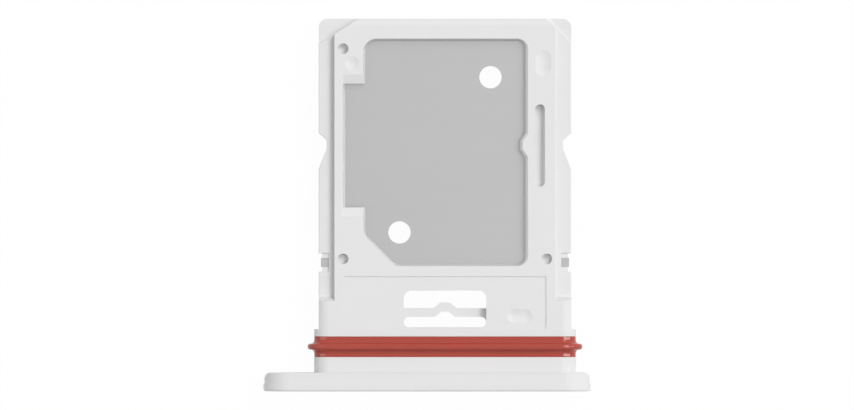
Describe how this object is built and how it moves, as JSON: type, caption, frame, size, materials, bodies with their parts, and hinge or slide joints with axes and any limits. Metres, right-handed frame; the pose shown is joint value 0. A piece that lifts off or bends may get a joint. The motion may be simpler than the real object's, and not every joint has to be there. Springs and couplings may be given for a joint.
{
  "type": "sim card tray",
  "caption": "Slide-in phone card tray: white moulded frame with a SIM pocket over a steel insert plate, a memory card pocket below, a lipped silicone seal round the neck and a slim bezel.",
  "frame": {"origin": "under the middle of the whole tray, on the surface that it lies on", "axes": "+X across the tray along the bezel, +Y the way it slides into the phone, +Z out of the SIM side"},
  "size_m": [0.0182, 0.0208, 0.0028],
  "materials": {
    "white_plastic": "fine satin, as moulded",
    "plate_steel": "satin rolled sheet",
    "red_silicone": "smooth, slightly glossy"
  },
  "bodies": {
    "root": {"tray_body": "white_plastic", "card_plate": "plate_steel", "seal_ring": "red_silicone"}
  },
  "joints": []
}
